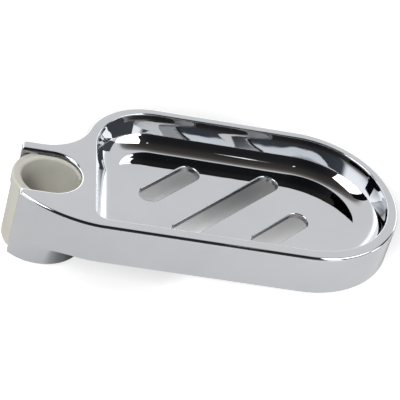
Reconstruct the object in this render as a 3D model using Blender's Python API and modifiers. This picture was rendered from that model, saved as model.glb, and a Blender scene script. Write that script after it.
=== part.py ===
# Shower rail soap holder: a chrome plated dish that drops over a split plastic
# sleeve, which grips the riser rail of a shower.
#
# Frame: metres, +Z up. The origin is on the axis of the rail, level with the
# flat top of the dish. +X runs along the dish, away from the rail, and +Y to
# the rear, which is the side that hangs out further from the rail.

from functools import partial
from math import acos, atan2, cos, pi, radians, sin, sqrt, tan

import bmesh
import bpy
from mathutils import Vector

# Fit between the pieces, and how far a cutter runs past what it cuts
FIT_GAP = 0.0003
OVERRUN = 0.002

# Rail that the holder is made for
RAIL_DIAMETER = 0.022

# Dish outline, seen from above
DISH_REACH = 0.1385
DISH_REAR = 0.0502
DISH_FRONT = 0.0277
MOUTH_DISTANCE = 0.0118
SHOULDER_FROM_TRAY = 0.0236
SHOULDER_RADIUS = 0.0282
NECK_RADIUS = 0.0196
REAR_PRONG_WIDTH = 0.0055
FRONT_PRONG_WIDTH = 0.00315
MOUTH_CORNER_RADIUS = 0.001
FRONT_SWEEP_FROM_TRAY = 0.0028
# Handles of the front edge's bend, as shares of its run along X and of its rise
FRONT_SWEEP_SHARES = ((0.0, 0.0), (0.295, 0.0), (0.672, 0.368), (0.754, 0.51), (1.0, 1.0))

# Walls of the dish
PLATE_THICKNESS = 0.0018
SKIRT_BELOW_FLOOR = 0.0019
SKIRT_WALL = 0.0024
TOP_EDGE_RADIUS = 0.0009

# The skirt's lower edge drops towards the mouth
DROP_START_INSIDE_HUB = 0.0065
DROP_RADIUS = 0.031
DROP_ANGLE = radians(35)

# Tray for the soap
RIM_REAR = 0.0039
RIM_FRONT = 0.0051
RIM_END = 0.0042
TRAY_BORE_WALL = 0.0021
TRAY_DEPTH = 0.0133
TRAY_REAR_CORNER_RADIUS = 0.0245
TRAY_FRONT_CORNER_RADIUS = 0.005
LEAST_CORNER_RADIUS = 0.0008
TRAY_EDGE_RADIUS = 0.0005
WALL_DRAFT = radians(9)
CREASE_ABOVE_FLOOR = 0.0041
SWEEP_RADIUS = 0.0122
FLOOR_THICKNESS = 0.0022

# Drain slots, which cross the floor on the slant
DRAIN_WIDTH = 0.0088
DRAIN_ANGLE = radians(46)
DRAIN_PITCH = 0.0224
DRAIN_FROM_LEFT_WALL = 0.0541
DRAIN_FROM_CENTRE_LINE = -0.0003
DRAIN_EDGE_RADIUS = 0.0005
# A length runs from one end's centre to the other's, and a shift along the slot
LEFT_DRAIN_LENGTH = 0.0227
LEFT_DRAIN_SHIFT = -0.0093
MIDDLE_DRAIN_LENGTH = 0.0515
RIGHT_DRAIN_LENGTH = 0.0221
RIGHT_DRAIN_SHIFT = 0.0078

# Hub that hangs below the plate round the rail
HUB_WALL = 0.0027
HUB_BELOW_SKIRT = 0.0138
RAIL_SLOT_CLEARANCE = 0.0006
RAIL_SLOT_EDGE_RADIUS = 0.0009

# Split sleeve inside the hub
SLEEVE_BORE_CLEARANCE = 0.0002
SLEEVE_WALL = 0.00325
SLEEVE_COLLAR_STEP = 0.00055
SLEEVE_COLLAR_HEIGHT = 0.0034
SLEEVE_COLLAR_SLOPE = 0.0008
SLEEVE_BELOW_HUB = 0.0018
SLEEVE_EDGE_RADIUS = 0.001
SLEEVE_SLIT = 0.0026

# Fineness of the round shapes
END_STEPS = 40
SHOULDER_STEPS = 14
SMALL_ARC_STEPS = 5
FRONT_SWEEP_STEPS = 16
EDGE_STEPS = 2
SWEEP_STEPS = 8
HUB_STEPS = 64
SLEEVE_STEPS = 72
MERGE_DISTANCE = 0.000002
LEVEL_TOLERANCE = 0.00003

# Sizes that follow from those above
SLEEVE_BORE_RADIUS = RAIL_DIAMETER / 2 + SLEEVE_BORE_CLEARANCE
SLEEVE_RADIUS = SLEEVE_BORE_RADIUS + SLEEVE_WALL
SLEEVE_COLLAR_RADIUS = SLEEVE_RADIUS + SLEEVE_COLLAR_STEP
HUB_BORE_RADIUS = SLEEVE_COLLAR_RADIUS + FIT_GAP
HUB_RADIUS = HUB_BORE_RADIUS + HUB_WALL
RAIL_SLOT_HALF_WIDTH = RAIL_DIAMETER / 2 + RAIL_SLOT_CLEARANCE
NECK_SIDE = RAIL_SLOT_HALF_WIDTH + REAR_PRONG_WIDTH
MOUTH_FRONT = RAIL_SLOT_HALF_WIDTH + FRONT_PRONG_WIDTH
TRAY_LEFT = HUB_BORE_RADIUS + TRAY_BORE_WALL
SHOULDER_X = TRAY_LEFT + SHOULDER_FROM_TRAY
FRONT_SWEEP_X = TRAY_LEFT + FRONT_SWEEP_FROM_TRAY
SKIRT_HEIGHT = TRAY_DEPTH + FLOOR_THICKNESS + SKIRT_BELOW_FLOOR
HUB_HEIGHT = SKIRT_HEIGHT + HUB_BELOW_SKIRT
DROP_START_X = HUB_RADIUS - DROP_START_INSIDE_HUB
CREASE_DEPTH = TRAY_DEPTH - CREASE_ABOVE_FLOOR
RIM_WIDEST = max(RIM_REAR, RIM_FRONT, RIM_END)
DISH_CENTRE_Y = (DISH_REAR - DISH_FRONT) / 2
DISH_END_RADIUS = (DISH_REAR + DISH_FRONT) / 2
DISH_END_X = DISH_REACH - DISH_END_RADIUS
TRAY_REAR = DISH_REAR - RIM_REAR
TRAY_FRONT = DISH_FRONT - RIM_FRONT
TRAY_CENTRE_Y = (TRAY_REAR - TRAY_FRONT) / 2
TRAY_END_RADIUS = (TRAY_REAR + TRAY_FRONT) / 2
TRAY_END_X = DISH_REACH - RIM_END - TRAY_END_RADIUS
DRAIN_CENTRE = (TRAY_LEFT + DRAIN_FROM_LEFT_WALL, TRAY_CENTRE_Y + DRAIN_FROM_CENTRE_LINE)
DRAINS = (
    (LEFT_DRAIN_LENGTH, LEFT_DRAIN_SHIFT, DRAIN_PITCH),
    (MIDDLE_DRAIN_LENGTH, 0.0, 0.0),
    (RIGHT_DRAIN_LENGTH, RIGHT_DRAIN_SHIFT, -DRAIN_PITCH),
)
SLEEVE_TOP = -PLATE_THICKNESS - FIT_GAP
SLEEVE_BOTTOM = -HUB_HEIGHT - SLEEVE_BELOW_HUB


def clear_scene():
    for old in list(bpy.data.objects):
        bpy.data.objects.remove(old, do_unlink=True)


def new_collection(name):
    made = bpy.data.collections.new(name)
    bpy.context.scene.collection.children.link(made)
    return made


def finish(name, colour, roughness, metallic):
    made = bpy.data.materials.new(name)
    made.use_nodes = True
    shader = made.node_tree.nodes["Principled BSDF"]
    shader.inputs["Base Color"].default_value = (*colour, 1.0)
    shader.inputs["Roughness"].default_value = roughness
    shader.inputs["Metallic"].default_value = metallic
    return made


def arc(centre, radius, start, end, steps):
    """Points on an arc from one angle to another, both ends included."""
    turn = (end - start) / steps
    return [
        (centre[0] + radius * cos(start + turn * i), centre[1] + radius * sin(start + turn * i))
        for i in range(steps + 1)
    ]


def front_sweep(inset):
    """Front edge from the end of its straight part to the mouth, moved inwards by inset."""
    run = -MOUTH_DISTANCE - FRONT_SWEEP_X
    rise = DISH_FRONT - MOUTH_FRONT
    handles = [
        Vector((FRONT_SWEEP_X + run * along, rise * up - DISH_FRONT)) for along, up in FRONT_SWEEP_SHARES
    ]
    mouth = inset - MOUTH_DISTANCE
    points = []
    for i in range(FRONT_SWEEP_STEPS + 1):
        share = i / FRONT_SWEEP_STEPS
        level = handles
        while len(level) > 2:
            level = [near.lerp(far, share) for near, far in zip(level, level[1:])]
        heading = (level[1] - level[0]).normalized()
        place = level[0].lerp(level[1], share) + inset * Vector((heading.y, -heading.x))
        if place.x < mouth + MERGE_DISTANCE:
            break
        points.append(place)
    points.append(points[-1] + (mouth - points[-1].x) / heading.x * heading)
    return points


def dish_outline(inset=0.0):
    """Outline of the dish from above, anticlockwise, moved inwards by inset."""
    shoulder = (SHOULDER_X, DISH_REAR - SHOULDER_RADIUS)
    neck_y = NECK_SIDE + NECK_RADIUS
    reach = SHOULDER_RADIUS + NECK_RADIUS
    neck = (SHOULDER_X - sqrt(reach ** 2 - (neck_y - shoulder[1]) ** 2), neck_y)
    towards_neck = atan2(neck[1] - shoulder[1], neck[0] - shoulder[0])

    points = arc((DISH_END_X, DISH_CENTRE_Y), DISH_END_RADIUS - inset, -pi / 2, pi / 2, END_STEPS)
    points += arc(shoulder, SHOULDER_RADIUS - inset, pi / 2, towards_neck, SHOULDER_STEPS)
    points += arc(neck, NECK_RADIUS + inset, towards_neck + pi, 1.5 * pi, SHOULDER_STEPS)[1:]
    corner_radius = max(MOUTH_CORNER_RADIUS - inset, LEAST_CORNER_RADIUS)
    corner = (inset - MOUTH_DISTANCE + corner_radius, NECK_SIDE - inset - corner_radius)
    points += arc(corner, corner_radius, pi / 2, pi, SMALL_ARC_STEPS)
    return points + front_sweep(inset)[::-1]


def tray_outline(inset=0.0):
    """Outline of the tray from above, anticlockwise, moved inwards by inset."""
    rear_radius = max(TRAY_REAR_CORNER_RADIUS - inset, LEAST_CORNER_RADIUS)
    front_radius = max(TRAY_FRONT_CORNER_RADIUS - inset, LEAST_CORNER_RADIUS)
    left = TRAY_LEFT + inset
    points = arc((TRAY_END_X, TRAY_CENTRE_Y), TRAY_END_RADIUS - inset, -pi / 2, pi / 2, END_STEPS)
    rear_corner = (left + rear_radius, TRAY_REAR - inset - rear_radius)
    points += arc(rear_corner, rear_radius, pi / 2, pi, SHOULDER_STEPS)
    front_corner = (left + front_radius, inset - TRAY_FRONT + front_radius)
    points += arc(front_corner, front_radius, pi, 1.5 * pi, SMALL_ARC_STEPS)
    return points


def rail_slot_outline(inset=0.0):
    """U-shaped slot that lets the rail in from the mouth, anticlockwise."""
    half = RAIL_SLOT_HALF_WIDTH - inset
    open_end = -MOUTH_DISTANCE - HUB_RADIUS
    return [(open_end, -half)] + arc((0.0, 0.0), half, -pi / 2, pi / 2, HUB_STEPS // 2) + [(open_end, half)]


def drain_outline(length, inset=0.0):
    """Slot with round ends, centred and lying along X."""
    half = DRAIN_WIDTH / 2 - inset
    points = arc((length / 2, 0.0), half, -pi / 2, pi / 2, 2 * SMALL_ARC_STEPS)
    return points + arc((-length / 2, 0.0), half, pi / 2, 1.5 * pi, 2 * SMALL_ARC_STEPS)


def hub_outline():
    """Round hub, cut off flat at the mouth and flush with the neck's side."""
    half_mouth = acos(MOUTH_DISTANCE / HUB_RADIUS)
    circle = arc((0.0, 0.0), HUB_RADIUS, half_mouth - pi, pi - half_mouth, HUB_STEPS)
    return [(x, min(y, NECK_SIDE)) for x, y in circle]


def add_object(name, mesh, group):
    made = bpy.data.objects.new(name, mesh)
    group.objects.link(made)
    return made


def take_primitive(name, group):
    """Name the primitive that was just added and move it to a collection."""
    made = bpy.context.object
    made.name = name
    for owner in list(made.users_collection):
        owner.objects.unlink(made)
    group.objects.link(made)
    return made


def prism(name, outline, bottom, top, group):
    """A flat outline pulled straight up from bottom to top."""
    curve = bpy.data.curves.new(name, "CURVE")
    curve.dimensions = "2D"
    curve.fill_mode = "BOTH"
    curve.extrude = (top - bottom) / 2
    spline = curve.splines.new("POLY")
    spline.points.add(len(outline) - 1)
    for point, place in zip(spline.points, outline):
        point.co = (*place, 0.0, 1.0)
    spline.use_cyclic_u = True
    flat = bpy.data.objects.new(name, curve)
    group.objects.link(flat)
    flat.location.z = (top + bottom) / 2
    bpy.context.view_layer.update()
    mesh = bpy.data.meshes.new_from_object(flat.evaluated_get(bpy.context.evaluated_depsgraph_get()))
    place = flat.matrix_world.copy()
    bpy.data.objects.remove(flat, do_unlink=True)
    shape = bmesh.new()
    shape.from_mesh(mesh)
    bmesh.ops.remove_doubles(shape, verts=shape.verts, dist=MERGE_DISTANCE)
    bmesh.ops.recalc_face_normals(shape, faces=shape.faces)
    shape.to_mesh(mesh)
    shape.free()
    solid = add_object(name, mesh, group)
    solid.matrix_world = place
    return solid


def loft(name, rings, group):
    """A closed solid through rings of equally many points, from top to bottom.

    Each ring is an outline and its height.
    """
    shape = bmesh.new()
    loops = []
    for outline, height in rings:
        verts = [shape.verts.new((x, y, height)) for x, y in outline]
        loops.append([shape.edges.new((verts[i - 1], verts[i])) for i in range(len(verts))])
    for upper, lower in zip(loops, loops[1:]):
        bmesh.ops.bridge_loops(shape, edges=upper + lower)
    bmesh.ops.contextual_create(shape, geom=loops[0])
    bmesh.ops.contextual_create(shape, geom=loops[-1])
    bmesh.ops.recalc_face_normals(shape, faces=shape.faces)
    mesh = bpy.data.meshes.new(name)
    shape.to_mesh(mesh)
    shape.free()
    return add_object(name, mesh, group)


def rounded_opening(outline, radius, top):
    """Rings of a cutter whose upper edge flares out round, like a fillet on what it cuts."""
    rings = [(outline(-radius), top + OVERRUN)]
    for i in range(EDGE_STEPS + 1):
        angle = pi / 2 * i / EDGE_STEPS
        rings.append((outline(radius * (sin(angle) - 1)), top - radius * (1 - cos(angle))))
    return rings


def boolean(target, tool, operation):
    """Cut or join by an exact Boolean, and hide the tool."""
    step = target.modifiers.new(tool.name, "BOOLEAN")
    step.operation = operation
    step.solver = "EXACT"
    step.object = tool
    tool.hide_render = True
    tool.display_type = "WIRE"


def round_top_edge(solid, radius):
    """Bevel the loop of edges round the top face."""
    shape = bmesh.new()
    shape.from_mesh(solid.data)
    top = max(vert.co.z for vert in shape.verts)
    level = [face for face in shape.faces if all(top - vert.co.z < LEVEL_TOLERANCE for vert in face.verts)]
    bmesh.ops.dissolve_faces(shape, faces=level)
    rim = [
        edge for edge in shape.edges
        if all(top - vert.co.z < LEVEL_TOLERANCE for vert in edge.verts) and len(edge.link_faces) == 2
    ]
    bmesh.ops.bevel(
        shape, geom=rim, offset=radius, offset_type="OFFSET", segments=EDGE_STEPS + 1,
        profile=0.5, affect="EDGES", clamp_overlap=True,
    )
    shape.to_mesh(solid.data)
    shape.free()


def tray_profile():
    """Inner surface of the tray from its top edge down to the floor.

    Each station has its distance in from the tray's outline, its height, and
    the lean of its surface normal from straight up.
    """
    stations = []
    for i in range(EDGE_STEPS + 1):
        lean = pi / 2 * i / EDGE_STEPS - WALL_DRAFT * i / EDGE_STEPS
        stations.append((TRAY_EDGE_RADIUS * (sin(lean) - 1), TRAY_EDGE_RADIUS * (cos(lean) - 1), lean))
    edge_in, edge_down = stations[-1][:2]
    crease_in = edge_in + (CREASE_DEPTH + edge_down) * tan(WALL_DRAFT)
    rise = TRAY_DEPTH - CREASE_DEPTH
    crease_lean = acos(1 - rise / SWEEP_RADIUS)
    for i in range(SWEEP_STEPS + 1):
        lean = crease_lean * (1 - i / SWEEP_STEPS)
        across = SWEEP_RADIUS * (sin(crease_lean) - sin(lean))
        stations.append((crease_in + across, SWEEP_RADIUS * (1 - cos(lean)) - TRAY_DEPTH, lean))
    return stations


def tray_pocket(group):
    """Cutter with the shape of the hollow that takes the soap."""
    stations = tray_profile()
    rings = [(tray_outline(stations[0][0]), OVERRUN)]
    rings += [(tray_outline(inset), height) for inset, height, lean in stations]
    return loft("cutter_tray", rings, group)


def tray_backing(group):
    """Material that stays under the tray: its wall, its sweep and its floor."""
    sweep = tray_profile()[EDGE_STEPS + 1:]
    rings = [(tray_outline(-RIM_WIDEST), 0.0), (tray_outline(-RIM_WIDEST), -CREASE_DEPTH)]
    for inset, height, lean in sweep:
        rings.append((tray_outline(inset - FLOOR_THICKNESS * sin(lean)), height - FLOOR_THICKNESS * cos(lean)))
    return loft("guide_tray_backing", rings, group)


def skirt_trim(group):
    """Cutter under the skirt, with the lower edge that drops towards the mouth."""
    far = DISH_REACH + OVERRUN
    low = -HUB_HEIGHT - OVERRUN
    centre = (DROP_START_X, -SKIRT_HEIGHT - DROP_RADIUS)
    edge = arc(centre, DROP_RADIUS, pi / 2, pi / 2 + DROP_ANGLE, SMALL_ARC_STEPS)
    end = edge[-1]
    run = MOUTH_DISTANCE + OVERRUN + end[0]
    edge.append((end[0] - run, end[1] - run * tan(DROP_ANGLE)))
    outline = [(far, -SKIRT_HEIGHT)] + edge + [(edge[-1][0], low), (far, low)]
    cutter = prism("cutter_skirt", outline, -DISH_REAR - OVERRUN, DISH_REAR + OVERRUN, group)
    cutter.rotation_euler.x = pi / 2
    return cutter


def make_dish(group, tools, material):
    """Dish: plate, skirt, tray and hub, moulded as one piece and chrome plated."""
    dish = prism("dish_body", dish_outline(), OVERRUN - HUB_HEIGHT, 0.0, group)
    round_top_edge(dish, TOP_EDGE_RADIUS)
    boolean(dish, skirt_trim(tools), "DIFFERENCE")

    hollow_outline = dish_outline(SKIRT_WALL)
    hollow = prism("cutter_underside", hollow_outline, -HUB_HEIGHT, -PLATE_THICKNESS, tools)
    hub_space = prism("guide_hub_space", hub_outline(), -HUB_HEIGHT - OVERRUN, 0.0, tools)
    boolean(hollow, tray_backing(tools), "DIFFERENCE")
    boolean(hollow, hub_space, "DIFFERENCE")
    boolean(dish, hollow, "DIFFERENCE")

    hub = prism("guide_hub", hub_outline(), -HUB_HEIGHT, -PLATE_THICKNESS / 2, tools)
    boolean(dish, hub, "UNION")
    boolean(dish, tray_pocket(tools), "DIFFERENCE")

    bore_depth = HUB_HEIGHT + OVERRUN - PLATE_THICKNESS
    bpy.ops.mesh.primitive_cylinder_add(
        vertices=HUB_STEPS, radius=HUB_BORE_RADIUS, depth=bore_depth,
        location=(0.0, 0.0, -PLATE_THICKNESS - bore_depth / 2),
    )
    boolean(dish, take_primitive("cutter_hub_bore", tools), "DIFFERENCE")

    slot_rings = rounded_opening(rail_slot_outline, RAIL_SLOT_EDGE_RADIUS, 0.0)
    slot_rings.append((rail_slot_outline(), -HUB_HEIGHT - OVERRUN))
    boolean(dish, loft("cutter_rail_slot", slot_rings, tools), "DIFFERENCE")

    for number, (length, shift, across) in enumerate(DRAINS, 1):
        rings = rounded_opening(partial(drain_outline, length), DRAIN_EDGE_RADIUS, -TRAY_DEPTH)
        rings.append((drain_outline(length), -TRAY_DEPTH - FLOOR_THICKNESS - OVERRUN))
        drain = loft(f"cutter_drain_{number}", rings, tools)
        drain.location.x = DRAIN_CENTRE[0] + shift * cos(DRAIN_ANGLE) - across * sin(DRAIN_ANGLE)
        drain.location.y = DRAIN_CENTRE[1] + shift * sin(DRAIN_ANGLE) + across * cos(DRAIN_ANGLE)
        drain.rotation_euler.z = DRAIN_ANGLE
        boolean(dish, drain, "DIFFERENCE")

    dish.data.materials.append(material)
    return dish


def sleeve_profile():
    """Section of the sleeve's wall, from the bore's top edge round the outside."""
    edge = SLEEVE_EDGE_RADIUS
    collar_foot = SLEEVE_TOP - SLEEVE_COLLAR_HEIGHT
    points = arc((SLEEVE_COLLAR_RADIUS - edge, SLEEVE_TOP - edge), edge, pi / 2, 0.0, EDGE_STEPS + 1)
    points.append((SLEEVE_COLLAR_RADIUS, collar_foot))
    points.append((SLEEVE_RADIUS, collar_foot - SLEEVE_COLLAR_SLOPE))
    points += arc((SLEEVE_RADIUS - edge, SLEEVE_BOTTOM + edge), edge, 0.0, -pi / 2, EDGE_STEPS + 1)
    inner = SLEEVE_BORE_RADIUS + edge
    points += arc((inner, SLEEVE_BOTTOM + edge), edge, -pi / 2, -pi, EDGE_STEPS + 1)
    points += arc((inner, SLEEVE_TOP - edge), edge, pi, pi / 2, EDGE_STEPS + 1)
    return points


def make_sleeve(group, tools, material):
    """Sleeve: a split ring that springs round the rail inside the hub."""
    mesh = bpy.data.meshes.new("rail_sleeve")
    shape = bmesh.new()
    verts = [shape.verts.new((x, 0.0, z)) for x, z in sleeve_profile()]
    for i in range(len(verts)):
        shape.edges.new((verts[i - 1], verts[i]))
    shape.to_mesh(mesh)
    shape.free()
    sleeve = add_object("rail_sleeve", mesh, group)
    turn = sleeve.modifiers.new("turned", "SCREW")
    turn.steps = SLEEVE_STEPS
    turn.render_steps = SLEEVE_STEPS
    turn.use_merge_vertices = True
    turn.merge_threshold = MERGE_DISTANCE
    turn.use_smooth_shade = True

    height = SLEEVE_TOP - SLEEVE_BOTTOM + 2 * OVERRUN
    bpy.ops.mesh.primitive_cube_add(size=1.0)
    slit = take_primitive("cutter_sleeve_slit", tools)
    slit.scale = (SLEEVE_COLLAR_RADIUS, SLEEVE_SLIT, height)
    slit.location = (SLEEVE_COLLAR_RADIUS, 0.0, (SLEEVE_TOP + SLEEVE_BOTTOM) / 2)
    boolean(sleeve, slit, "DIFFERENCE")
    mesh.materials.append(material)
    return sleeve


def main():
    clear_scene()
    holder = new_collection("shower_rail_soap_holder")
    tools = new_collection("cutters_and_guides")
    chrome = finish("chrome_plated_abs", (0.78, 0.79, 0.80), 0.06, 1.0)
    nylon = finish("off_white_nylon", (0.60, 0.58, 0.52), 0.45, 0.0)

    # The sleeve stays on the rail and the dish lifts off it along the axis
    seat = bpy.data.objects.new("rail_axis", None)
    holder.objects.link(seat)
    make_sleeve(holder, tools, nylon).parent = seat
    make_dish(holder, tools, chrome).parent = seat


main()
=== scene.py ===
from math import acos, atan2, cos, hypot, pi, radians, sin, sqrt, tan

import bmesh
import bpy
from mathutils import Matrix, Vector


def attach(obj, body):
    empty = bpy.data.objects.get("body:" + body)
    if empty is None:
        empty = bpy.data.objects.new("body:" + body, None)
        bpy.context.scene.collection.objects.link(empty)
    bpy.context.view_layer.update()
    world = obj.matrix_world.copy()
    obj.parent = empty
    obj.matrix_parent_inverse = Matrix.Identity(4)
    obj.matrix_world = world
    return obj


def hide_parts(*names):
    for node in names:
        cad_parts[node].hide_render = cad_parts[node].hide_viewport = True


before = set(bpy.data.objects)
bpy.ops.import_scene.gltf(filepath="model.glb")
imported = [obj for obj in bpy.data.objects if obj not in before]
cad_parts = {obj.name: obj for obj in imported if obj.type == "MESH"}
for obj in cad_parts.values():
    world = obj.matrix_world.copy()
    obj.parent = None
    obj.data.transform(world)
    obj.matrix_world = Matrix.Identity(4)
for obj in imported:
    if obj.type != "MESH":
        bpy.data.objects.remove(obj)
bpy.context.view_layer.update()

# Camera
# It looks along the dish from the front, a little from the left and down by
# 38 degrees, and is rolled, so that the tray rises towards the left.
CAMERA_PLACE = (-0.06972, -0.57776, 0.46183)
CAMERA_AIM = Vector((0.17017, 0.76800, -0.61743))
CAMERA_ROLL = radians(16.57)

bpy.ops.object.camera_add(location=CAMERA_PLACE)
camera = bpy.context.object
camera.rotation_euler = CAMERA_AIM.to_track_quat("-Z", "Y").to_euler()
camera.rotation_euler.rotate_axis("Z", CAMERA_ROLL)
camera.data.lens = 175.5
camera.data.sensor_width = 36.0
bpy.context.scene.camera = camera


# Studio
# White paper on a table and a white wall behind it, under a dark ceiling with
# two softboxes, a small lamp and three dark screens. Polished chrome shows all
# that stands round it: pale from the paper and the wall, nearly black from the
# ceiling, and white from the softboxes. Two more lamps light the paper.
def linear(colour):
    """A colour written as sRGB hex, as the linear values that a shader takes."""
    shares = [int(colour[i:i + 2], 16) / 255 for i in (1, 3, 5)]
    return tuple(c / 12.92 if c <= 0.04045 else ((c + 0.055) / 1.055) ** 2.4 for c in shares) + (1.0,)


def add_node(tree, kind, settings=None, **links):
    """Adds a node, sets its properties, and sets its sockets or links them to other sockets."""
    made = tree.nodes.new(kind)
    for key, value in (settings or {}).items():
        setattr(made, key, value)
    for key, value in links.items():
        name = key.replace("_", " ")
        socket = made.inputs[int(key[1:])] if key[1:].isdigit() else made.inputs[name]
        if isinstance(value, bpy.types.NodeSocket):
            tree.links.new(value, socket)
        else:
            socket.default_value = value
    return made


def set_ramp(ramp, stops):
    """Puts a colour ramp's stops at the given places, each with its colour."""
    while len(ramp.elements) < len(stops):
        ramp.elements.new(1.0)
    for element, (place, colour) in zip(ramp.elements, stops):
        element.position = place
        element.color = linear(colour)


def towards(azimuth, elevation):
    """The direction at an azimuth from +X towards +Y, and an elevation, both in degrees."""
    turn, rise = radians(azimuth), radians(elevation)
    return Vector((cos(rise) * cos(turn), cos(rise) * sin(turn), sin(rise)))


scene = bpy.context.scene
scene.view_settings.view_transform = "Standard"

FLOOR_LEVEL = -0.0332
FLOOR_SIZE = 6.0
STAGE_CENTRE = Vector((0.06, 0.01, 0.0))
WHITE = "#FFFFFF"

bpy.ops.object.select_all(action="DESELECT")
bpy.ops.mesh.primitive_plane_add(size=FLOOR_SIZE, location=(0.0, 0.0, FLOOR_LEVEL))
floor = bpy.context.object
floor.name = "floor"

# Matt white paper, painted greyer as a shadow under the tray and beside the hub.
# To the eye it also has a painted glow, faint under the tray, that brightens it to plain white all round the dish
TRAY_SHADOW = (0.112, 0.048, 0.0)
TRAY_SHADOW_LENGTH = 0.066
TRAY_SHADOW_WIDTH = 0.044
HUB_SHADOW = (0.030, -0.004, 0.0)
HUB_SHADOW_CORE = 0.017
HUB_SHADOW_EDGE = 0.032
PAPER_AND_SHADOW_TONES = ((0.0, "#8C8C8E"), (0.4, "#9C9C9E"), (0.75, "#C8C8C9"), (1.0, "#F8F8F8"))
DIMMEST = (0.070, 0.062, 0.0)
DIM_LENGTH = 0.100
DIM_WIDTH = 0.075

paper = bpy.data.materials.new("white_paper")
paper.use_nodes = True
tree = paper.node_tree
tree.nodes.clear()
rays = add_node(tree, "ShaderNodeLightPath")
place = add_node(tree, "ShaderNodeTexCoord")
behind = add_node(tree, "ShaderNodeVectorMath", {"operation": "SUBTRACT"},
                  i0=place.outputs["Object"], i1=TRAY_SHADOW)
reach = add_node(tree, "ShaderNodeVectorMath", {"operation": "MULTIPLY"},
                 i0=behind.outputs[0], i1=(1 / TRAY_SHADOW_LENGTH, 1 / TRAY_SHADOW_WIDTH, 0.0))
far = add_node(tree, "ShaderNodeVectorMath", {"operation": "LENGTH"}, i0=reach.outputs[0])
beside = add_node(tree, "ShaderNodeVectorMath", {"operation": "SUBTRACT"},
                  i0=place.outputs["Object"], i1=HUB_SHADOW)
gap = add_node(tree, "ShaderNodeVectorMath", {"operation": "LENGTH"}, i0=beside.outputs[0])
hub_shade = add_node(tree, "ShaderNodeMapRange", Value=gap.outputs["Value"],
                     From_Min=HUB_SHADOW_CORE, From_Max=HUB_SHADOW_EDGE, To_Min=0.0, To_Max=1.0)
nearest = add_node(tree, "ShaderNodeMath", {"operation": "MINIMUM"},
                   i0=far.outputs["Value"], i1=hub_shade.outputs["Result"])
# Painted shadow: the paper's colour darkens towards the middle of the tray's and the hub's shadows
shade = add_node(tree, "ShaderNodeValToRGB", Fac=nearest.outputs[0])
set_ramp(shade.color_ramp, PAPER_AND_SHADOW_TONES)
sheet = add_node(tree, "ShaderNodeBsdfDiffuse", Color=shade.outputs["Color"])
around = add_node(tree, "ShaderNodeVectorMath", {"operation": "SUBTRACT"},
                  i0=place.outputs["Object"], i1=DIMMEST)
share = add_node(tree, "ShaderNodeVectorMath", {"operation": "MULTIPLY"},
                 i0=around.outputs[0], i1=(1 / DIM_LENGTH, 1 / DIM_WIDTH, 0.0))
away = add_node(tree, "ShaderNodeVectorMath", {"operation": "LENGTH"}, i0=share.outputs[0])
# Painted glow, seen directly: faint under the tray, rising to plain white away from the dish
fade = add_node(tree, "ShaderNodeMapRange", {"interpolation_type": "SMOOTHSTEP"}, Value=away.outputs["Value"],
                From_Min=0.15, From_Max=1.20, To_Min=0.05, To_Max=0.75)
glow = add_node(tree, "ShaderNodeEmission", Color=linear(WHITE), Strength=fade.outputs["Result"])
seen = add_node(tree, "ShaderNodeAddShader", i0=sheet.outputs[0], i1=glow.outputs[0])
to_the_eye = add_node(tree, "ShaderNodeMath", {"operation": "MAXIMUM"},
                      i0=rays.outputs["Is Camera Ray"], i1=rays.outputs["Is Transmission Ray"])
mixed = add_node(tree, "ShaderNodeMixShader", i0=to_the_eye.outputs[0], i1=sheet.outputs[0], i2=seen.outputs[0])
add_node(tree, "ShaderNodeOutputMaterial", Surface=mixed.outputs[0])
floor.data.materials.append(paper)

# The room. The ceiling is darkest above the camera, the wall behind is white
# and brightest low down, and the side of the camera is dim. Only the chrome
# shows it; to the eye the background is white
CEILING_MIDDLE = towards(260, 60)
CAMERA_MIDDLE = towards(257, 0)
CEILING = ((0.0, "#FAFAFB"), (0.46, "#F8F8F9"), (0.505, "#DCDCDC"), (0.545, "#96928F"), (0.60, "#76716F"),
           (0.70, "#4F4B48"), (0.86, "#3F3B39"), (0.93, "#2D2C2E"), (1.0, "#1C1E21"))
CAMERA_SIDE = ((0.0, WHITE), (0.35, "#F4F4F5"), (0.68, "#F0F1F2"), (0.74, "#5E646C"), (1.0, "#42474F"))

world = bpy.data.worlds.new("studio")
scene.world = world
world.use_nodes = True
tree = world.node_tree
tree.nodes.clear()
rays = add_node(tree, "ShaderNodeLightPath")
direction = add_node(tree, "ShaderNodeTexCoord")
across = add_node(tree, "ShaderNodeVectorMath", {"operation": "DOT_PRODUCT"},
                  i0=direction.outputs["Generated"], i1=CEILING_MIDDLE)
ceiling = add_node(tree, "ShaderNodeValToRGB", Fac=across.outputs["Value"])
set_ramp(ceiling.color_ramp, CEILING)
ahead = add_node(tree, "ShaderNodeVectorMath", {"operation": "DOT_PRODUCT"},
                 i0=direction.outputs["Generated"], i1=CAMERA_MIDDLE)
camera_side = add_node(tree, "ShaderNodeValToRGB", Fac=ahead.outputs["Value"])
set_ramp(camera_side.color_ramp, CAMERA_SIDE)
darker = add_node(tree, "ShaderNodeMix", {"data_type": "RGBA", "blend_type": "DARKEN"}, Factor=1.0,
                  i6=ceiling.outputs["Color"], i7=camera_side.outputs["Color"])
apart = add_node(tree, "ShaderNodeSeparateXYZ", Vector=direction.outputs["Generated"])
high = add_node(tree, "ShaderNodeMapRange", Value=apart.outputs["Z"],
                From_Min=0.30, From_Max=0.56, To_Min=0.0, To_Max=1.0)
tones = add_node(tree, "ShaderNodeMix", {"data_type": "RGBA"}, Factor=high.outputs["Result"],
                 i6=camera_side.outputs["Color"], i7=darker.outputs[2])
low = add_node(tree, "ShaderNodeMapRange", {"interpolation_type": "SMOOTHSTEP"}, Value=apart.outputs["Z"],
               From_Min=0.30, From_Max=0.46, To_Min=1.4, To_Max=0.0)
aside = add_node(tree, "ShaderNodeMapRange", {"interpolation_type": "SMOOTHSTEP"}, Value=ahead.outputs["Value"],
                 From_Min=0.62, From_Max=0.74, To_Min=1.0, To_Max=0.0)
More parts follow.
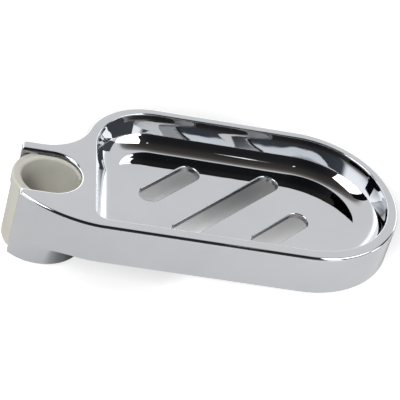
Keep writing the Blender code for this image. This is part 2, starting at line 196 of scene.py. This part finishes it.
glare = add_node(tree, "ShaderNodeMath", {"operation": "MULTIPLY_ADD"},
                 i0=low.outputs["Result"], i1=aside.outputs["Result"], i2=1.0)
room = add_node(tree, "ShaderNodeBackground", Color=tones.outputs[2], Strength=glare.outputs[0])
plain = add_node(tree, "ShaderNodeBackground", Color=linear(WHITE), Strength=0.4)
white = add_node(tree, "ShaderNodeBackground", Color=linear(WHITE), Strength=1.0)
lit = add_node(tree, "ShaderNodeMixShader",
               i0=rays.outputs["Is Glossy Ray"], i1=plain.outputs[0], i2=room.outputs[0])
to_the_eye = add_node(tree, "ShaderNodeMath", {"operation": "MAXIMUM"},
                      i0=rays.outputs["Is Camera Ray"], i1=rays.outputs["Is Transmission Ray"])
shown = add_node(tree, "ShaderNodeMixShader", i0=to_the_eye.outputs[0], i1=lit.outputs[0], i2=white.outputs[0])
add_node(tree, "ShaderNodeOutputWorld", Surface=shown.outputs[0])


def set_lamp(name, place, aim, width, height, watts):
    """A flat lamp that lights the paper and the sleeve. The chrome doesn't show it."""
    bpy.ops.object.light_add(type="AREA", location=place)
    lamp = bpy.context.object
    lamp.name = name
    lamp.rotation_euler = (aim - lamp.location).to_track_quat("-Z", "Y").to_euler()
    lamp.data.shape = "RECTANGLE"
    lamp.data.size = width
    lamp.data.size_y = height
    lamp.data.energy = watts
    lamp.visible_glossy = False


# The front lamp stands at the front left, and the side lamp brightens the
# paper in front of the round end
set_lamp("front_lamp", STAGE_CENTRE + 1.6 * towards(235, 45), STAGE_CENTRE, width=0.6, height=0.5, watts=16.0)
set_lamp("side_lamp", (0.26, -0.22, 0.12), Vector((0.16, -0.06, FLOOR_LEVEL)), width=0.1, height=0.1, watts=0.25)

# Cards for the softboxes, the small lamp and the screens. A card shows either
# in a first reflection only, or in reflections of reflections too
CARD_DISTANCE = 1.2
FLAG_DISTANCE = 1.5
ONCE = 1.5
ALWAYS = 9.5


def hang_card(name, azimuth, elevation, corners, colour, brightness, distance=CARD_DISTANCE, reflections=ALWAYS):
    """A card that faces the dish and shows in the chrome alone, up to a number of reflections.

    Its corners are shares of its distance, sideways and upwards."""
    facing = towards(azimuth, elevation)
    sideways = facing.cross(Vector((0.0, 0.0, 1.0))).normalized()
    upwards = sideways.cross(facing)
    mesh = bpy.data.meshes.new(name)
    places = [STAGE_CENTRE + distance * (facing + side * sideways + up * upwards) for side, up in corners]
    mesh.from_pydata(places, [], [range(len(places))])
    card = bpy.data.objects.new(name, mesh)
    scene.collection.objects.link(card)
    light = bpy.data.materials.new(name)
    light.use_nodes = True
    light.node_tree.nodes.clear()
    rays = add_node(light.node_tree, "ShaderNodeLightPath")
    direct = add_node(light.node_tree, "ShaderNodeMath", {"operation": "LESS_THAN"},
                      i0=rays.outputs["Glossy Depth"], i1=reflections)
    strength = add_node(light.node_tree, "ShaderNodeMath", {"operation": "MULTIPLY"},
                        i0=direct.outputs[0], i1=brightness)
    shine = add_node(light.node_tree, "ShaderNodeEmission", Color=linear(colour), Strength=strength.outputs[0])
    add_node(light.node_tree, "ShaderNodeOutputMaterial", Surface=shine.outputs[0])
    mesh.materials.append(light)
    card.visible_camera = False
    card.visible_diffuse = False
    card.visible_transmission = False
    card.visible_shadow = False


def oblong(half_width, half_height):
    """The corners of an upright oblong card."""
    return [(side * half_width, up * half_height) for side, up in ((-1, -1), (1, -1), (1, 1), (-1, 1))]


hang_card("left_softbox", 187, 52, ((0.32, 0.28), (0.27, -0.27), (-0.31, -0.31), (-0.31, 0.0), (-0.08, 0.33)),
          WHITE, brightness=4.0, reflections=ONCE)
hang_card("right_softbox", -17, 51,
          ((-0.11, 0.36), (0.10, 0.26), (0.28, 0.04), (0.42, 0.05),
           (0.50, -0.12), (0.27, -0.20), (-0.22, -0.33), (-0.35, -0.20)),
          WHITE, brightness=4.0)
hang_card("small_lamp", -28, 76.5, oblong(0.024, 0.011), WHITE, brightness=2.2, reflections=ONCE)
hang_card("near_screen", 337, 17, ((-0.30, -0.20), (0.33, -0.20), (0.33, 0.20), (-0.30, 0.20)),
          "#5E6165", brightness=1.0)
hang_card("far_screen", 18, 20, oblong(0.20, 0.28), "#54575B", brightness=1.0)
hang_card("black_flag", 164, 38, ((-0.20, -0.33), (0.02, -0.33), (0.27, 0.42), (0.03, 0.42)),
          "#101214", brightness=1.0, distance=FLAG_DISTANCE)


# Chrome plated dish
# One moulding of ABS, plated with bright chrome: a top plate with a skirt,
# a tray for the soap with three drain slots, and a hub that hangs round the rail.
# It drops over the plastic sleeve and holds by its weight.
DISH_REACH = 0.1385
DISH_REAR = 0.0502
DISH_FRONT = 0.0277
MOUTH = -0.0118
SHOULDER = Vector((0.0410, 0.0220))
SHOULDER_RADIUS = 0.0282
NECK_SIDE = 0.0171
NECK_RADIUS = 0.0196
CORNER_RADIUS = 0.0017
MOUTH_FRONT = 0.01475
FRONT_BEND_X = 0.0202
# The front side bends in towards the mouth. These are the curve's handles, as
# shares of the way to the mouth and of the way in
FRONT_BEND = ((0.0, 0.0), (0.295, 0.0), (0.672, 0.368), (0.754, 0.51), (1.0, 1.0))
PLATE = 0.0018
SKIRT_HEIGHT = 0.0174
SKIRT_WALL = 0.0024
HUB_HEIGHT = 0.0312
HUB_RADIUS = 0.0180
HUB_BORE_RADIUS = 0.0153
HUB_INSIDE = 0.00001
RAIL_SLOT_HALF = 0.0116
RAIL_SLOT_REACH = -0.04
TOP_EDGE = 0.0012
SLOT_EDGE = 0.0012

TRAY_LEFT = 0.0174
TRAY_REAR = 0.0463
TRAY_FRONT = 0.0226
TRAY_END_RADIUS = (TRAY_REAR + TRAY_FRONT) / 2
TRAY_END = Vector((0.09985, (TRAY_REAR - TRAY_FRONT) / 2))
TRAY_REAR_CORNER = 0.0245
TRAY_FRONT_CORNER = 0.005
TRAY_LEAST_CORNER = 0.0008
TRAY_DEPTH = 0.0133
TRAY_EDGE = 0.0005
# How far down the wall, as a share, and how many degrees it leans there
TRAY_WALL_LEAN = ((0.0, 0.0), (0.22, 0.0), (0.40, 8.7), (1.0, 12.4))
TRAY_WALL_STEPS = 18
CREASE_DEPTH = 0.0092
CREASE_EDGE = 0.0004
SWEEP_RADIUS = 0.0122
FLOOR_THICKNESS = 0.0022
RIM_WIDEST = 0.0051

DRAIN_HALF = 0.0044
DRAIN_EDGE = 0.0005
DRAIN_ANGLE = radians(46)
DRAIN_CENTRE = Vector((0.0715, 0.01155))
# Each drain slot's straight length, its shift along itself and its shift across
DRAINS = ((0.0227, -0.0093, 0.0224), (0.0515, 0.0, 0.0), (0.0221, 0.0078, -0.0224))

# How far a cutting tool reaches past the surface that it cuts, the sliver by
# which it stands clear of it, and the steps of modelling
PAST = 0.002
SLIVER = 0.000005
MERGE = 0.000002
SAME_HEIGHT = 1e-7
EDGE_STEPS = 5
BEND_STEPS = 32
SWEEP_STEPS = 28
SWEEP_START = TRAY_WALL_STEPS + 2 * EDGE_STEPS


def draw(name, height, start, moves):
    """Draws a closed outline from one vertex: straight runs are extruded, and round ones are spun about a centre."""
    bpy.ops.object.select_all(action="DESELECT")
    bpy.ops.mesh.primitive_plane_add(size=0.001)
    made = bpy.context.object
    made.name = name
    bpy.ops.object.mode_set(mode="EDIT")
    bpy.ops.mesh.merge(type="CENTER")
    bpy.ops.transform.translate(value=(start[0], start[1], height))
    here = Vector(start)
    for move in moves + [start]:
        if len(move) == 2:
            step = Vector(move) - here
            bpy.ops.mesh.extrude_vertices_move(TRANSFORM_OT_translate={"value": (step.x, step.y, 0.0)})
            here = Vector(move)
        else:
            centre, turn, steps = move
            bpy.ops.mesh.spin(steps=steps, angle=turn, center=(centre[0], centre[1], height), axis=(0.0, 0.0, -1.0))
            here = Vector(centre) + Matrix.Rotation(turn, 2) @ (here - Vector(centre))
    bpy.ops.mesh.select_all(action="SELECT")
    bpy.ops.mesh.remove_doubles(threshold=MERGE)
    return made


def select_at(height, second_height=None):
    """Selects in edit mode the vertices at one or two heights."""
    mesh = bmesh.from_edit_mesh(bpy.context.object.data)
    heights = [height] if second_height is None else [height, second_height]
    for vert in mesh.verts:
        vert.select = any(abs(vert.co.z - level) < SAME_HEIGHT for level in heights)
    mesh.select_flush(True)
    mesh.select_flush_mode()
    bmesh.update_edit_mesh(bpy.context.object.data)


def finish_solid():
    """Turns the faces outwards and leaves edit mode."""
    bpy.ops.mesh.select_all(action="SELECT")
    bpy.ops.mesh.normals_make_consistent(inside=False)
    bpy.ops.object.mode_set(mode="OBJECT")
    return bpy.context.object


def pull(name, bottom, top, start, moves):
    """A solid pulled up from a drawn outline."""
    draw(name, bottom, start, moves)
    bpy.ops.mesh.edge_face_add()
    bpy.ops.mesh.extrude_region_move(TRANSFORM_OT_translate={"value": (0.0, 0.0, top - bottom)})
    return finish_solid()


def stack(name, rings):
    """A solid through rings with equally many points, bridged from top to bottom and closed at both ends."""
    drawn = []
    for height, start, moves in rings:
        drawn.append(draw(name, height, start, moves))
        bpy.ops.object.mode_set(mode="OBJECT")
    for ring in drawn:
        ring.select_set(True)
    bpy.ops.object.join()
    bpy.ops.object.mode_set(mode="EDIT")
    bpy.ops.mesh.select_mode(type="VERT")
    for upper, lower in zip(rings, rings[1:]):
        select_at(upper[0], lower[0])
        bpy.ops.mesh.bridge_edge_loops()
    for height in (rings[0][0], rings[-1][0]):
        select_at(height)
        bpy.ops.mesh.edge_face_add()
    return finish_solid()


def cut(target, tool, operation="DIFFERENCE"):
    """Cuts or joins by an exact Boolean, and removes the tool."""
    bpy.ops.object.select_all(action="DESELECT")
    bpy.context.view_layer.objects.active = target
    target.select_set(True)
    step = target.modifiers.new(tool.name, "BOOLEAN")
    step.operation = operation
    step.solver = "EXACT"
    step.object = tool
    bpy.ops.object.modifier_apply(modifier=step.name)
    bpy.data.objects.remove(tool)


def dish_line(inset=0.0):
    """The dish's outline from above, drawn anticlockwise and moved inwards by inset."""
    end = Vector((DISH_REACH - (DISH_REAR + DISH_FRONT) / 2, (DISH_REAR - DISH_FRONT) / 2))
    neck = Vector((0.0, NECK_SIDE + NECK_RADIUS))
    neck.x = SHOULDER.x - sqrt((SHOULDER_RADIUS + NECK_RADIUS) ** 2 - (neck.y - SHOULDER.y) ** 2)
    bend = atan2(neck.y - SHOULDER.y, neck.x - SHOULDER.x) - pi / 2
    corner = max(CORNER_RADIUS - inset, TRAY_LEAST_CORNER)
    corner_centre = (MOUTH + inset + corner, NECK_SIDE - inset - corner)
    moves = [
        (end, pi, 150),
        (SHOULDER.x, DISH_REAR - inset),
        (SHOULDER, bend, 48),
        (neck, -bend, 48),
        (corner_centre[0], NECK_SIDE - inset),
        (corner_centre, pi / 2, 6),
    ]
    run = MOUTH - FRONT_BEND_X
    rise = DISH_FRONT - MOUTH_FRONT
    handles = [Vector((FRONT_BEND_X + run * along, rise * up - DISH_FRONT)) for along, up in FRONT_BEND]
    bend_line = []
    for i in range(BEND_STEPS + 1):
        share = i / BEND_STEPS
        level = handles
        while len(level) > 2:
            level = [near.lerp(far, share) for near, far in zip(level, level[1:])]
        heading = (level[1] - level[0]).normalized()
        place = level[0].lerp(level[1], share) + inset * Vector((heading.y, -heading.x))
        if place.x < MOUTH + inset + MERGE:
            break
        bend_line.append(place)
    bend_line.append(bend_line[-1] + (MOUTH + inset - bend_line[-1].x) / heading.x * heading)
    return (end.x, inset - DISH_FRONT), moves + [tuple(place) for place in bend_line[::-1]]


def tray_line(inset):
    """The tray's outline from above, drawn anticlockwise and moved inwards by inset."""
    rear = max(TRAY_REAR_CORNER - inset, TRAY_LEAST_CORNER)
    front = max(TRAY_FRONT_CORNER - inset, TRAY_LEAST_CORNER)
    left = TRAY_LEFT + inset
    rear_centre = (left + rear, TRAY_REAR - inset - rear)
    front_centre = (left + front, inset + front - TRAY_FRONT)
    moves = [
        (TRAY_END, pi, 150),
        (rear_centre[0], TRAY_REAR - inset),
        (rear_centre, pi / 2, 60),
        (left, front_centre[1]),
        (front_centre, pi / 2, 16),
    ]
    return (TRAY_END.x, inset - TRAY_FRONT), moves


def rail_slot_line(inset=0.0):
    """The U-shaped slot that lets the rail in from the mouth."""
    half = RAIL_SLOT_HALF - inset
    return (0.0, -half), [((0.0, 0.0), pi, 96), (RAIL_SLOT_REACH, half), (RAIL_SLOT_REACH, -half)]


def hub_line(inset=0.0):
    """The round hub, cut off flat at the mouth and almost flush with the neck's side."""
    radius = HUB_RADIUS - inset
    mouth = MOUTH + HUB_INSIDE + inset
    side = NECK_SIDE - HUB_INSIDE - inset
    open_angle = acos(-mouth / radius)
    flat_angle = acos(side / radius)
    start = (radius * cos(open_angle - pi), radius * sin(open_angle - pi))
    flat_x = radius * sin(flat_angle)
    moves = [((0.0, 0.0), 1.5 * pi - open_angle - flat_angle, 90)]
    if flat_x < -mouth:
        moves += [(-flat_x, side), ((0.0, 0.0), pi / 2 - flat_angle - open_angle, 12)]
    return start, moves


def wall_draft(share):
    """The draft of the tray's wall at a share of the way down: upright under the rim, then leaning more and more."""
    for (above, first), (below, second) in zip(TRAY_WALL_LEAN, TRAY_WALL_LEAN[1:]):
        if share <= below:
            return radians(first + (second - first) * (share - above) / (below - above))


def tray_section():
    """The tray's inner surface from edge to floor: its distance in from the outline, its height and its lean."""
    stations = []
    for i in range(EDGE_STEPS + 1):
        lean = pi / 2 * i / EDGE_STEPS
        stations.append((TRAY_EDGE * (sin(lean) - 1), TRAY_EDGE * (cos(lean) - 1), lean))
    across, height, _ = stations[-1]
    drop = (CREASE_DEPTH + height) / TRAY_WALL_STEPS
    for i in range(TRAY_WALL_STEPS):
        across += drop * tan(wall_draft((i + 0.5) / TRAY_WALL_STEPS))
        height -= drop
        if i < TRAY_WALL_STEPS - 1:
            stations.append((across, height, pi / 2 - wall_draft((i + 1) / TRAY_WALL_STEPS)))
    crease_in = across
    sweep_lean = acos(1 - (TRAY_DEPTH - CREASE_DEPTH) / SWEEP_RADIUS)
    wall_lean = pi / 2 - wall_draft(1.0)
    reach = CREASE_EDGE * tan((wall_lean - sweep_lean) / 2)
    for i in range(EDGE_STEPS + 1):
        lean = wall_lean + (sweep_lean - wall_lean) * i / EDGE_STEPS
        centre = (
            crease_in - reach * cos(wall_lean) + CREASE_EDGE * sin(wall_lean),
            -CREASE_DEPTH + reach * sin(wall_lean) + CREASE_EDGE * cos(wall_lean),
        )
        stations.append((centre[0] - CREASE_EDGE * sin(lean), centre[1] - CREASE_EDGE * cos(lean), lean))
    for i in range(1, SWEEP_STEPS + 1):
        lean = sweep_lean * (1 - i / SWEEP_STEPS)
        across = SWEEP_RADIUS * (sin(sweep_lean) - sin(lean))
        stations.append((crease_in + across, SWEEP_RADIUS * (1 - cos(lean)) - TRAY_DEPTH, lean))
    return stations


def floor_height(x, y):
    """How high the tray's inner surface lies near its floor."""
    across = min(
        TRAY_END_RADIUS - hypot(x - TRAY_END.x, y - TRAY_END.y) if x > TRAY_END.x else 1.0,
        TRAY_REAR - y, y + TRAY_FRONT, x - TRAY_LEFT,
    )
    stations = tray_section()[SWEEP_START:]
    for (near, high, _), (far, low, _) in zip(stations, stations[1:]):
        if across < far:
            return high + (low - high) * (across - near) / (far - near)
    return -TRAY_DEPTH


# The dish's full block, with its top edge rounded
dish = pull("dish", -HUB_HEIGHT - PAST / 2, 0.0, *dish_line())
bpy.ops.object.mode_set(mode="EDIT")
bpy.ops.mesh.select_mode(type="VERT")
select_at(0.0)
bpy.ops.mesh.bevel(offset=TOP_EDGE, offset_type="OFFSET", segments=6, profile=0.5, affect="EDGES")
bpy.ops.object.mode_set(mode="OBJECT")

# The skirt's lower edge drops towards the mouth
DROP_X = 0.0115
DROP_RADIUS = 0.031
DROP_ANGLE = radians(35)
DROP_RUN = 0.02
TRIM_LEFT = -0.04
TRIM_RIGHT = 0.15
TRIM_REACH = 0.06
draw("trim", -TRIM_REACH, (TRIM_RIGHT, -SKIRT_HEIGHT), [
    (DROP_X, -SKIRT_HEIGHT),
    ((DROP_X, -SKIRT_HEIGHT - DROP_RADIUS), DROP_ANGLE, 24),
    (DROP_X - DROP_RADIUS * sin(DROP_ANGLE) - DROP_RUN * cos(DROP_ANGLE),
     -SKIRT_HEIGHT - DROP_RADIUS * (1 - cos(DROP_ANGLE)) - DROP_RUN * sin(DROP_ANGLE)),
    (TRIM_LEFT, -TRIM_REACH), (TRIM_RIGHT, -TRIM_REACH),
])
bpy.ops.mesh.edge_face_add()
bpy.ops.mesh.extrude_region_move(TRANSFORM_OT_translate={"value": (0.0, 0.0, 2 * TRIM_REACH)})
trim = finish_solid()
for vert in trim.data.vertices:
    vert.co = (vert.co.x, -vert.co.z, vert.co.y)
cut(dish, trim)
cut(dish, pull("hub", -HUB_HEIGHT, -PLATE / 2, *hub_line()), "UNION")

# The hollow under the plate, which leaves the tray's wall and the hub standing
hollow = pull("hollow", -HUB_HEIGHT - PAST, -PLATE, *dish_line(SKIRT_WALL))
backing_rings = [(0.0,) + tray_line(-RIM_WIDEST), (-CREASE_DEPTH,) + tray_line(-RIM_WIDEST)]
for inset, height, lean in tray_section()[SWEEP_START::3]:
    backing_rings.append((height - FLOOR_THICKNESS * cos(lean),) + tray_line(inset - FLOOR_THICKNESS * sin(lean)))
cut(hollow, stack("tray_backing", backing_rings))
cut(hollow, pull("hub_space", -HUB_HEIGHT - 1.5 * PAST, 0.0, *hub_line(-HUB_INSIDE / 2)))
cut(dish, hollow)

# The tray, from its rounded edge down to the floor
tray_rings = [(PAST,) + tray_line(-TRAY_EDGE)]
for number, (inset, height, _) in enumerate(tray_section()):
    tray_rings.append((height + (SLIVER if number == 0 else 0.0),) + tray_line(inset))
cut(dish, stack("tray_pocket", tray_rings))

# The hub's bore, up to the plate
BORE_TOOL = 0.04
bpy.ops.object.select_all(action="DESELECT")
bpy.ops.mesh.primitive_cylinder_add(vertices=192, radius=HUB_BORE_RADIUS, depth=BORE_TOOL,
                                    location=(0.0, 0.0, -PLATE - BORE_TOOL / 2))
bpy.ops.object.transform_apply()
cut(dish, bpy.context.object)

# The rail slot, which rounds down from the top and opens the hub towards the mouth
SLOT_EDGE_STEPS = 7
slot_rings = [(PAST,) + rail_slot_line(-SLOT_EDGE)]
for i in range(SLOT_EDGE_STEPS + 1):
    lean = pi / 2 * i / SLOT_EDGE_STEPS
    rise = SLIVER if i == 0 else 0.0
    slot_rings.append((SLOT_EDGE * (cos(lean) - 1) + rise,) + rail_slot_line(SLOT_EDGE * (sin(lean) - 1)))
slot_rings.append((-HUB_HEIGHT - PAST,) + rail_slot_line())
cut(dish, stack("rail_slot", slot_rings))

# The drain slots, with edges that follow the tray's floor and sweep
for number, (length, shift, across) in enumerate(DRAINS, 1):
    rings = []
    turn = Vector((cos(DRAIN_ANGLE), sin(DRAIN_ANGLE)))
    middle = DRAIN_CENTRE + turn * shift + Vector((-turn.y, turn.x)) * across
    depths = [(-DRAIN_EDGE, PAST), (-DRAIN_EDGE, SLIVER)]
    for i in range(1, EDGE_STEPS + 1):
        lean = pi / 2 * i / EDGE_STEPS
        depths.append((DRAIN_EDGE * (sin(lean) - 1), DRAIN_EDGE * (cos(lean) - 1)))
    depths.append((0.0, -FLOOR_THICKNESS - PAST))
    for inset, height in depths:
        half = DRAIN_HALF - inset
        side = Vector((-turn.y, turn.x)) * half
        ahead = middle + turn * length / 2
        behind = middle - turn * length / 2
        rings.append((height,) + (tuple(ahead - side), [(ahead, pi, 40), tuple(behind + side), (behind, pi, 40)]))
    drain = stack(f"drain_{number}", rings)
    for vert in drain.data.vertices:
        vert.co.z += floor_height(vert.co.x, vert.co.y)
    cut(dish, drain)


def smooth_solid(solid):
    """Shades a solid smooth up to its sharp edges, with large faces flat."""
    bpy.ops.object.select_all(action="DESELECT")
    bpy.context.view_layer.objects.active = solid
    solid.select_set(True)
    bpy.ops.object.shade_smooth_by_angle(angle=radians(35))
    weigh = solid.modifiers.new("weigh_normals", "WEIGHTED_NORMAL")
    weigh.mode = "FACE_AREA"
    weigh.weight = 50
    weigh.keep_sharp = True
    bpy.ops.object.modifier_apply(modifier=weigh.name)


smooth_solid(dish)

# Bright chrome over ABS: a neutral mirror. The plating follows the moulding's
# faint waves, about 9 mm apart. Scuffs are too fine to show, so they are drawn
# coarser, as a faint haze in patches of 18 mm
WAVE_LENGTH = 0.009
WAVE_HEIGHT = 0.00003
HAZE_PATCH = 0.018

chrome = bpy.data.materials.new("bright_chrome_plate")
chrome.use_nodes = True
tree = chrome.node_tree
shader = tree.nodes["Principled BSDF"]
shader.inputs["Metallic"].default_value = 1.0
place = add_node(tree, "ShaderNodeTexCoord")
bloom = add_node(tree, "ShaderNodeTexNoise", Vector=place.outputs["Object"],
                 Scale=1 / HAZE_PATCH, Detail=3.0, Roughness=0.55)
plate = add_node(tree, "ShaderNodeValToRGB", Fac=bloom.outputs["Fac"])
set_ramp(plate.color_ramp, ((0.3, "#C4C6C9"), (0.7, "#C8CACD")))
tree.links.new(plate.outputs["Color"], shader.inputs["Base Color"])
haze = add_node(tree, "ShaderNodeMapRange", Value=bloom.outputs["Fac"],
                From_Min=0.3, From_Max=0.7, To_Min=0.015, To_Max=0.035)
tree.links.new(haze.outputs["Result"], shader.inputs["Roughness"])
waves = add_node(tree, "ShaderNodeTexNoise", Vector=place.outputs["Object"],
                 Scale=1 / WAVE_LENGTH, Detail=1.0, Roughness=0.4)
relief = add_node(tree, "ShaderNodeBump", Strength=1.0, Distance=WAVE_HEIGHT, Height=waves.outputs["Fac"])
tree.links.new(relief.outputs["Normal"], shader.inputs["Normal"])
dish.data.materials.clear()
dish.data.materials.append(chrome)
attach(dish, "dish")
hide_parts("dish_body")


# Split sleeve
# A ring of natural nylon, moulded with a collar and with a slit along one side,
# which springs round the riser rail. It shows in the slot and mouth of the dish.
SLEEVE_TOP = -0.0021
SLEEVE_BOTTOM = -0.0330
SLEEVE_RADIUS = 0.01445
SLEEVE_BORE = 0.0112
COLLAR_RADIUS = 0.0150
COLLAR_FOOT = -0.0067
COLLAR_SLOPE = 0.0008
SLEEVE_EDGE = 0.001
BORE_EDGE = 0.0016
SLIT = 0.0026
SLIT_FROM = 0.005
SLIT_TO = 0.02
SLEEVE_STEPS = 192

sleeve = draw("sleeve", 0.0, (SLEEVE_BORE + SLEEVE_EDGE, SLEEVE_BOTTOM), [
    (SLEEVE_RADIUS - SLEEVE_EDGE, SLEEVE_BOTTOM),
    ((SLEEVE_RADIUS - SLEEVE_EDGE, SLEEVE_BOTTOM + SLEEVE_EDGE), pi / 2, 8),
    (SLEEVE_RADIUS, COLLAR_FOOT - COLLAR_SLOPE),
    (COLLAR_RADIUS, COLLAR_FOOT),
    (COLLAR_RADIUS, SLEEVE_TOP - SLEEVE_EDGE),
    ((COLLAR_RADIUS - SLEEVE_EDGE, SLEEVE_TOP - SLEEVE_EDGE), pi / 2, 8),
    (SLEEVE_BORE + BORE_EDGE, SLEEVE_TOP),
    ((SLEEVE_BORE + BORE_EDGE, SLEEVE_TOP - BORE_EDGE), pi / 2, 10),
    (SLEEVE_BORE, SLEEVE_BOTTOM + SLEEVE_EDGE),
    ((SLEEVE_BORE + SLEEVE_EDGE, SLEEVE_BOTTOM + SLEEVE_EDGE), pi / 2, 8),
])
bpy.ops.object.mode_set(mode="OBJECT")
for vert in sleeve.data.vertices:
    vert.co = (vert.co.x, 0.0, vert.co.y)
bpy.ops.object.mode_set(mode="EDIT")
bpy.ops.mesh.select_all(action="SELECT")
bpy.ops.mesh.spin(steps=SLEEVE_STEPS, angle=2 * pi, center=(0.0, 0.0, 0.0), axis=(0.0, 0.0, 1.0))
bpy.ops.mesh.select_all(action="SELECT")
bpy.ops.mesh.remove_doubles(threshold=MERGE)
finish_solid()
cut(sleeve, pull("slit", SLEEVE_BOTTOM - PAST / 2, SLEEVE_TOP + PAST / 2, (SLIT_FROM, -SLIT / 2), [
    (SLIT_TO, -SLIT / 2), (SLIT_TO, SLIT / 2), (SLIT_FROM, SLIT / 2),
]))
smooth_solid(sleeve)

# Natural nylon 6, injection moulded: milky, so light goes a little way in and
# softens its shadows, with a satin skin. The mould leaves lines along the bore,
# 0.1 mm apart; they are drawn coarser, 1.2 mm apart, because finer ones don't show
LINE_SPACING = 0.0012
LINE_HEIGHT = 0.00004
CLOUD_SIZE = 0.012

nylon = bpy.data.materials.new("moulded_nylon")
nylon.use_nodes = True
tree = nylon.node_tree
shader = tree.nodes["Principled BSDF"]
place = add_node(tree, "ShaderNodeTexCoord")
clouds = add_node(tree, "ShaderNodeTexNoise", Vector=place.outputs["Object"],
                  Scale=1 / CLOUD_SIZE, Detail=2.0, Roughness=0.5)
tint = add_node(tree, "ShaderNodeValToRGB", Fac=clouds.outputs["Fac"])
set_ramp(tint.color_ramp, ((0.3, "#C3C2B8"), (0.7, "#CCCAC1")))
along = add_node(tree, "ShaderNodeSeparateXYZ", Vector=place.outputs["Object"])
lower = add_node(tree, "ShaderNodeMapRange", Value=along.outputs["Z"],
                 From_Min=-0.012, From_Max=-0.032, To_Min=0.0, To_Max=0.8)
warm = add_node(tree, "ShaderNodeMix", {"data_type": "RGBA"}, Factor=lower.outputs["Result"],
                i6=tint.outputs["Color"], i7=linear("#C9C2BB"))
tree.links.new(warm.outputs[2], shader.inputs["Base Color"])
stretch = add_node(tree, "ShaderNodeMapping", Vector=place.outputs["Object"], Scale=(1.0, 1.0, 0.08))
lines = add_node(tree, "ShaderNodeTexNoise", Vector=stretch.outputs[0],
                 Scale=1 / LINE_SPACING, Detail=3.0, Roughness=0.6)
skin = add_node(tree, "ShaderNodeMapRange", Value=lines.outputs["Fac"],
                From_Min=0.3, From_Max=0.7, To_Min=0.38, To_Max=0.50)
tree.links.new(skin.outputs["Result"], shader.inputs["Roughness"])
relief = add_node(tree, "ShaderNodeBump", Strength=0.35, Distance=LINE_HEIGHT, Height=lines.outputs["Fac"])
tree.links.new(relief.outputs["Normal"], shader.inputs["Normal"])
shader.inputs["IOR"].default_value = 1.53
shader.inputs["Subsurface Weight"].default_value = 0.4
shader.inputs["Subsurface Radius"].default_value = (1.0, 0.9, 0.7)
shader.inputs["Subsurface Scale"].default_value = 0.0022
sleeve.data.materials.clear()
sleeve.data.materials.append(nylon)
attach(sleeve, "sleeve")
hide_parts("rail_sleeve")
